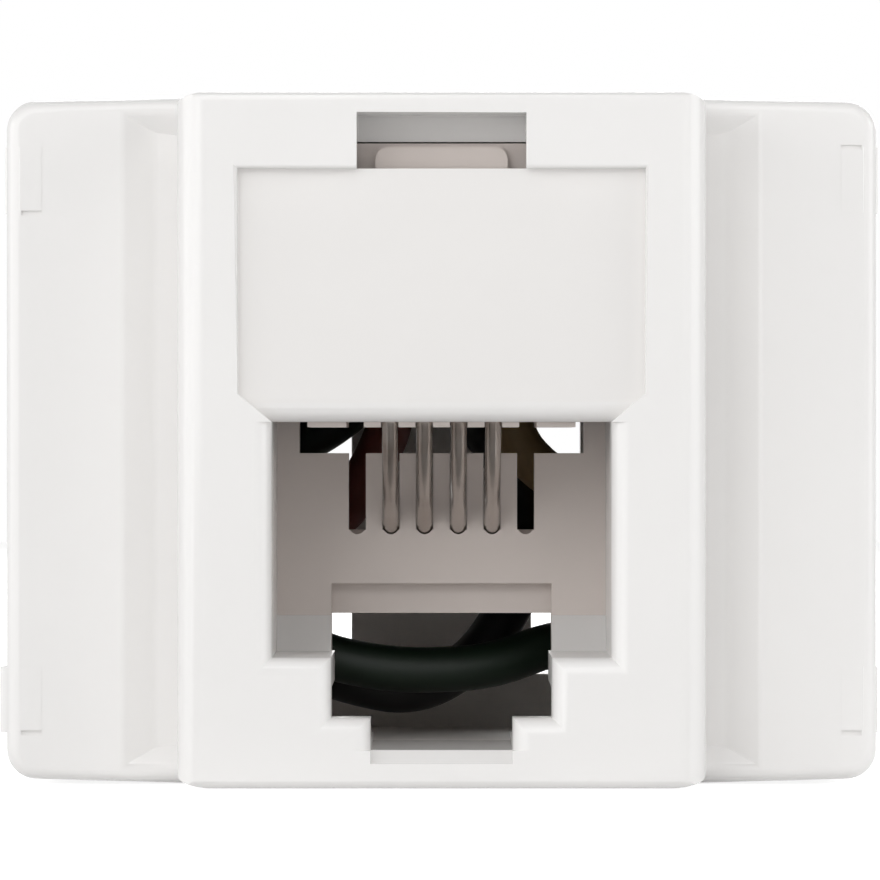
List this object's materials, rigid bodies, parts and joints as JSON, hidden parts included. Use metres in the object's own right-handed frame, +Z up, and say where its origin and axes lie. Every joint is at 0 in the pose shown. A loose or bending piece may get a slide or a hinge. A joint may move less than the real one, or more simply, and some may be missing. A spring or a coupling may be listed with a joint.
{
  "type": "telephone wall socket",
  "caption": "White snap-in telephone outlet module with a modular jack, label recess, side wings with snap lugs, and screw terminals at the back.",
  "frame": {"origin": "centre of the module's front outline, in the plane of the wings' front faces", "axes": "+X to the viewer's right, +Y back into the wall, +Z up"},
  "size_m": [0.0261, 0.022, 0.0204],
  "materials": {
    "cover_white": "satin white moulding",
    "insert_white": "satin white moulding",
    "body_white": "satin white moulding",
    "contact_metal": "plated spring wire",
    "splice_metal": "tinned",
    "lead_red": "flexible insulation",
    "lead_green": "flexible insulation",
    "lead_black": "flexible insulation",
    "lead_yellow": "flexible insulation",
    "terminal_brass": "stamped",
    "washer_steel": "zinc plated",
    "screw_steel": "zinc plated"
  },
  "bodies": {
    "root": {"front_cover": "cover_white", "jack_insert": "insert_white", "rear_body": "body_white", "contact_wire_1": "contact_metal", "contact_wire_2": "contact_metal", "contact_wire_3": "contact_metal", "contact_wire_4": "contact_metal", "splice_1": "splice_metal", "splice_2": "splice_metal", "splice_3": "splice_metal", "splice_4": "splice_metal", "lead_red": "lead_red", "lead_green": "lead_green", "lead_black": "lead_black", "lead_yellow": "lead_yellow", "terminal_plate_1": "terminal_brass", "terminal_plate_2": "terminal_brass", "terminal_plate_3": "terminal_brass", "terminal_plate_4": "terminal_brass", "clamp_washer_1": "washer_steel", "clamp_washer_2": "washer_steel", "clamp_washer_3": "washer_steel", "clamp_washer_4": "washer_steel", "terminal_screw_1": "screw_steel", "terminal_screw_2": "screw_steel", "terminal_screw_3": "screw_steel", "terminal_screw_4": "screw_steel"}
  },
  "joints": []
}
